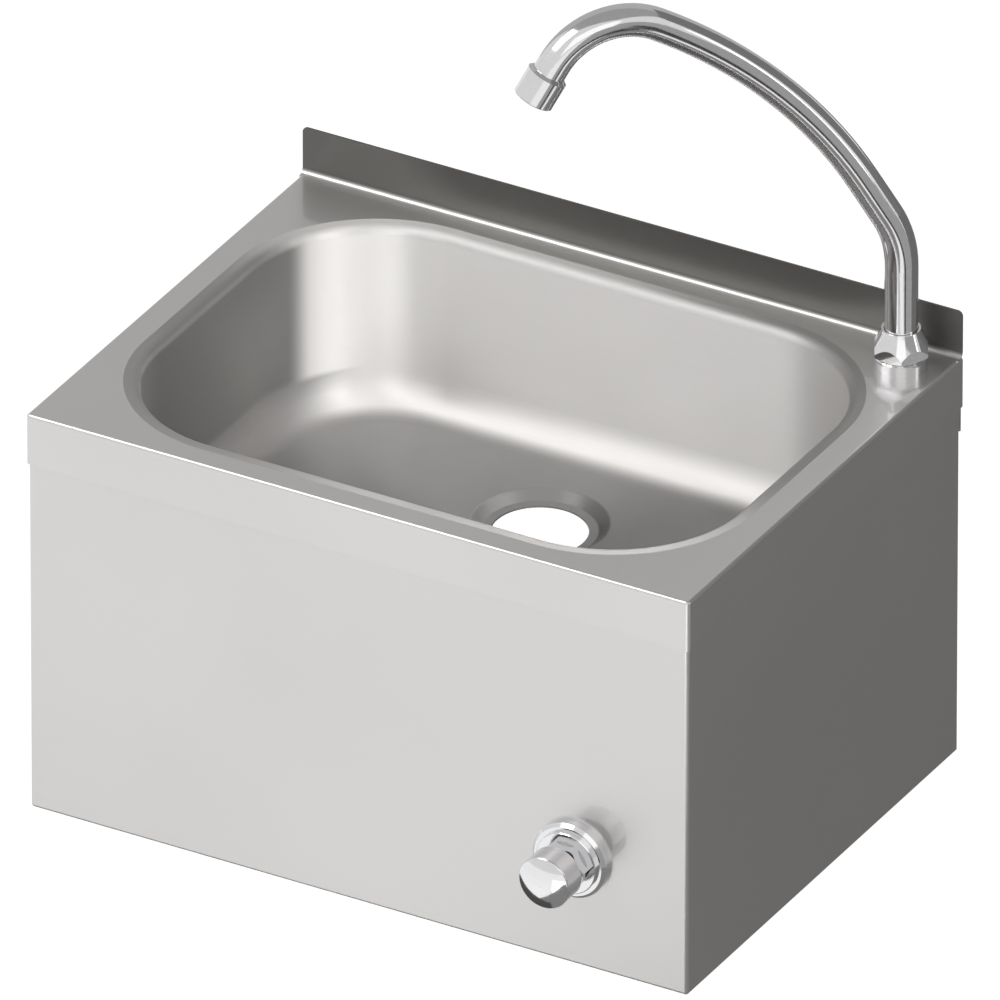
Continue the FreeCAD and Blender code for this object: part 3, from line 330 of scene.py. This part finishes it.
def deck_steel(name):
    """The lid's steel, with painted shade on its upstand, a darker colour, and the upstand's
    softer finish.
    """
    material, nodes, shader, steel, rough = satin_steel(
        name, SHEET_GRAIN, SHEET_ROUGHNESS, SHEET_METAL, DECK_GLOSS)
    upstand = above(nodes, "Z", *UPSTAND_FOOT)
    # Painted shade: the upstand's colour is a darker steel that changes from left to right.
    dark = nodes.add("ShaderNodeMix", data_type="RGBA")
    dark.inputs["A"].default_value = (*UPSTAND_SHADE_LEFT, 1)
    dark.inputs["B"].default_value = (*UPSTAND_SHADE_RIGHT, 1)
    nodes.link(above(nodes, "X", *UPSTAND_SHADE_FADE), dark.inputs["Factor"])
    colour = nodes.add("ShaderNodeMix", data_type="RGBA")
    nodes.link(upstand, colour.inputs["Factor"])
    nodes.link(steel, colour.inputs["A"])
    nodes.link(dark.outputs["Result"], colour.inputs["B"])
    rough = mix_values(nodes, upstand, rough, UPSTAND_ROUGHNESS)
    gloss = mix_values(nodes, upstand, DECK_GLOSS, 0.0)
    nodes.link(colour.outputs["Result"], shader.inputs["Base Color"])
    nodes.link(rough, shader.inputs["Roughness"])
    nodes.link(gloss, shader.inputs["Coat Weight"])
    return material


def polished(name, colour, roughness):
    """Plated or turned metal with faint polishing marks."""
    material, nodes, shader = new_material(name)
    marks = stretched_noise(nodes, POLISHING_MARKS, detail=3.0)
    dark = tuple(c * 0.96 for c in colour)
    nodes.link(tint(nodes, marks, dark, colour), shader.inputs["Base Color"])
    rough = ramp(nodes, marks, roughness * 0.8, roughness * 1.2)
    nodes.link(rough, shader.inputs["Roughness"])
    shader.inputs["Metallic"].default_value = 1.0
    return material


def plain(name, colour, roughness):
    """Rubber or plastic with a fine moulded grain."""
    material, nodes, shader = new_material(name)
    grain = stretched_noise(nodes, MOULDED_GRAIN, detail=2.0)
    dark = tuple(c * 0.85 for c in colour)
    nodes.link(tint(nodes, grain, dark, colour), shader.inputs["Base Color"])
    rough = ramp(nodes, grain, roughness - 0.05, roughness + 0.05)
    nodes.link(rough, shader.inputs["Roughness"])
    nodes.link(bump(nodes, grain, 0.00005, 0.5), shader.inputs["Normal"])
    return material


def dress():
    """Gives every node the material of its slot, and the lid and the bowl their own."""
    slots = {part["node"]: part["material_slot"] for part in frame["record"]["subparts"]}
    chosen = {
        "satin_steel": sheet_steel("satin_steel"),
        "polished_chrome": polished("polished_chrome", (0.80, 0.80, 0.81), 0.10),
        "brass": polished("brass", (0.75, 0.57, 0.30), 0.28),
        "nickel_plate": polished("nickel_plate", (0.66, 0.65, 0.62), 0.22),
        "steel_fittings": polished("steel_fittings", (0.60, 0.59, 0.58), 0.25),
        "black_rubber": plain("black_rubber", (0.03, 0.03, 0.03), 0.6),
        "white_plastic": plain("white_plastic", (0.75, 0.75, 0.75), 0.45),
    }
    special = {
        "deck_plate": deck_steel("deck_steel"),
        "bowl": bowl_steel("bowl_steel"),
    }
    for name, node in NODES.items():
        node.data.materials.clear()
        node.data.materials.append(special.get(name, chosen[slots[name]]))


def squeeze_spring():
    """The return spring, which stands on the valve: a copy with its own mesh, on the sink's
    body in place of the CAD part.
    """
    node = NODES["return_spring"]
    spring = bpy.data.objects.new("return_coil", node.data.copy())
    bpy.context.scene.collection.objects.link(spring)
    spring.data.materials.clear()
    spring.data.materials.append(node.material_slots[0].material)
    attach(spring, "sink")
    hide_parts("return_spring")
    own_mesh(spring)


# ---------------------------------------------------------------- the studio
def white_for_camera(nodes, output, base, white):
    """Shows white to the camera and in reflections, and base to everything else."""
    path = nodes.add("ShaderNodeLightPath")
    seen = nodes.add("ShaderNodeMath", operation="MAXIMUM")
    seen_all = nodes.add("ShaderNodeMath", operation="MAXIMUM")
    mix = nodes.add("ShaderNodeMixShader")
    nodes.link(path.outputs["Is Camera Ray"], seen.inputs[0])
    nodes.link(path.outputs["Is Glossy Ray"], seen.inputs[1])
    nodes.link(seen.outputs[0], seen_all.inputs[0])
    nodes.link(path.outputs["Is Transmission Ray"], seen_all.inputs[1])
    nodes.link(seen_all.outputs[0], mix.inputs["Fac"])
    nodes.link(base, mix.inputs[1])
    nodes.link(white, mix.inputs[2])
    nodes.link(mix.outputs[0], output)


def plane(name, width, height):
    """A flat piece of the stage, level and facing up."""
    mesh = bpy.data.meshes.new(name)
    x, y = width / 2, height / 2
    mesh.from_pydata([(-x, -y, 0), (x, -y, 0), (x, y, 0), (-x, y, 0)], [], [(0, 1, 2, 3)])
    obj = bpy.data.objects.new(name, mesh)
    bpy.context.scene.collection.objects.link(obj)
    return obj


def make_floor():
    """Pale floor that shows white where it is lit and keeps the object's shadow."""
    floor = plane("floor", FLOOR_SIZE, FLOOR_SIZE)
    floor.location.z = FLOOR_Z
    material = bpy.data.materials.new("floor")
    material.use_nodes = True
    nodes = Nodes(material.node_tree)
    output = nodes.add("ShaderNodeOutputMaterial")
    base = nodes.add("ShaderNodeBsdfDiffuse")
    base.inputs["Color"].default_value = (FLOOR_GREY, FLOOR_GREY, FLOOR_GREY, 1)
    lift = nodes.add("ShaderNodeEmission")
    lift.inputs["Strength"].default_value = FLOOR_LIFT
    lit = nodes.add("ShaderNodeAddShader")
    nodes.link(base.outputs[0], lit.inputs[0])
    nodes.link(lift.outputs[0], lit.inputs[1])
    white_for_camera(nodes, output.inputs["Surface"], base.outputs[0], lit.outputs[0])
    floor.data.materials.append(material)


def make_world():
    """White behind the object and in reflections, and an even light on it."""
    world = bpy.data.worlds.new("studio")
    world.use_nodes = True
    nodes = Nodes(world.node_tree)
    output = nodes.add("ShaderNodeOutputWorld")
    base = nodes.add("ShaderNodeBackground")
    base.inputs["Strength"].default_value = WORLD_LIGHT
    white = nodes.add("ShaderNodeBackground")
    white_for_camera(nodes, output.inputs["Surface"], base.outputs[0], white.outputs[0])
    bpy.context.scene.world = world


def aim(obj, direction, distance):
    """Puts a plane or lamp that far off in one direction, facing the object."""
    towards = Vector(direction).normalized()
    obj.location = STAGE_CENTRE + towards * distance
    obj.rotation_mode = "QUATERNION"
    obj.rotation_quaternion = towards.to_track_quat("Z", "Y")
    obj.visible_camera = False


def card(name, direction, distance, width, height, level):
    """Grey card that lights nothing and shows in reflections only."""
    obj = plane(name, width, height)
    aim(obj, direction, distance)
    if name == LEVEL_CARD:
        obj.rotation_quaternion.identity()
    obj.visible_shadow = False
    obj.visible_diffuse = False
    material = bpy.data.materials.new(name)
    material.use_nodes = True
    nodes = Nodes(material.node_tree)
    output = nodes.add("ShaderNodeOutputMaterial")
    glow = nodes.add("ShaderNodeEmission")
    glow.inputs["Color"].default_value = (*CARD_COLOUR, 1)
    # An even level that comes through nodes, so that dim cards are sampled like bright ones.
    place = nodes.add("ShaderNodeTexCoord")
    even = nodes.add("ShaderNodeMapRange")
    even.inputs["To Min"].default_value = level
    even.inputs["To Max"].default_value = level
    nodes.link(place.outputs["Generated"], even.inputs["Value"])
    nodes.link(even.outputs["Result"], glow.inputs["Strength"])
    nodes.link(glow.outputs[0], output.inputs["Surface"])
    obj.data.materials.append(material)


def softbox(name, direction, distance, width, height, radiance, only):
    """Rectangular lamp of an even brightness, for one node only if it is named."""
    data = bpy.data.lights.new(name, "AREA")
    data.shape = "RECTANGLE"
    data.size = width
    data.size_y = height
    data.energy = radiance * math.pi * width * height
    obj = bpy.data.objects.new(name, data)
    bpy.context.scene.collection.objects.link(obj)
    aim(obj, direction, distance)
    if only:
        lit = bpy.data.collections.new(name)
        lit.objects.link(NODES[only])
        obj.light_linking.receiver_collection = lit


def make_studio():
    for row in CARDS:
        card(*row)
    for row in LAMPS:
        softbox(*row)


def main():
    make_camera()
    dress()
    squeeze_spring()
    make_floor()
    make_world()
    make_studio()
    bpy.context.scene.view_settings.view_transform = "Standard"


main()
